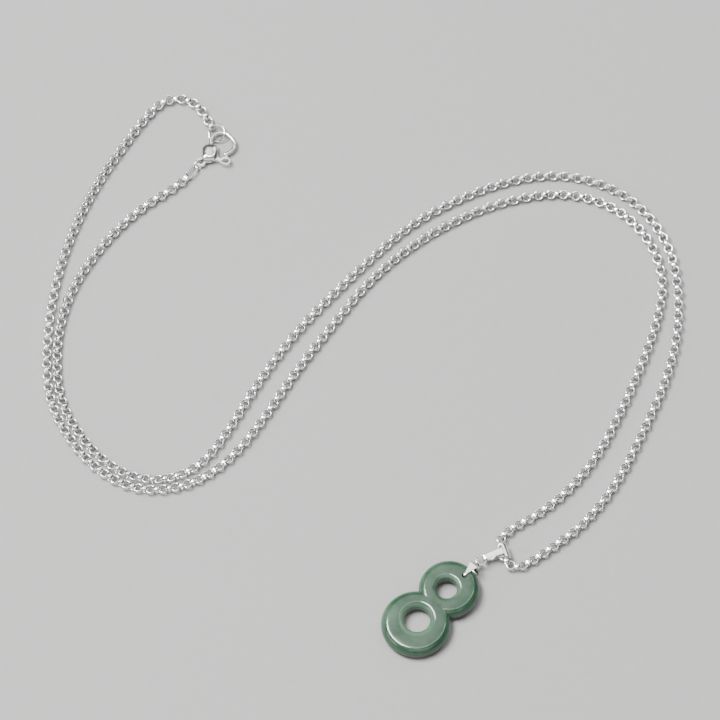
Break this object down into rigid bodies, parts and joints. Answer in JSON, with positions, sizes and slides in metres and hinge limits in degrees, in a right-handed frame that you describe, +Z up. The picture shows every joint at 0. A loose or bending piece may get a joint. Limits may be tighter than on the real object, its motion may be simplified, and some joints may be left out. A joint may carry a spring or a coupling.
{
  "type": "jade pendant necklace",
  "caption": "Necklace laid in a doubled S: a polished jade figure 8 hangs by a pinch bail and a chain bail on a steel belcher chain closed by a lobster clasp.",
  "frame": {"origin": "on the surface that the necklace lies on, under the middle of its bounding box", "axes": "+X along the longer side of the laid necklace, +Y from the jade towards the clasp, +Z up from the surface"},
  "size_m": [0.1284, 0.1232, 0.0038],
  "materials": {
    "jade": "polished jade, cloudy grey-green",
    "bail_steel": "polished stainless steel strip",
    "ring_steel": "polished stainless steel wire",
    "chain_steel": "polished stainless steel links",
    "clasp_steel": "polished stainless steel casting"
  },
  "bodies": {
    "necklace": {"jade_eight": "jade", "pinch_bail": "bail_steel", "pinch_ring": "ring_steel", "chain_bail": "bail_steel", "chain_ring_side": "chain_steel", "chain_clasp_side": "chain_steel", "end_link_ring": "chain_steel", "end_link_clasp": "chain_steel", "end_ring": "ring_steel", "clasp_body": "clasp_steel", "clasp_pin": "clasp_steel", "clasp_ring": "ring_steel", "long_link": "ring_steel"},
    "lever": {"clasp_lever": "clasp_steel"}
  },
  "joints": [
    {"name": "lever_pivot", "type": "hinge", "parent": "necklace", "child": "lever", "pos_m": [-0.03007, 0.04763, 0.0011], "axis": [0, 0, -1], "range_deg": [0, 20], "stiffness_Nm_per_rad": 0.005, "springref_deg": -22.92}
  ]
}
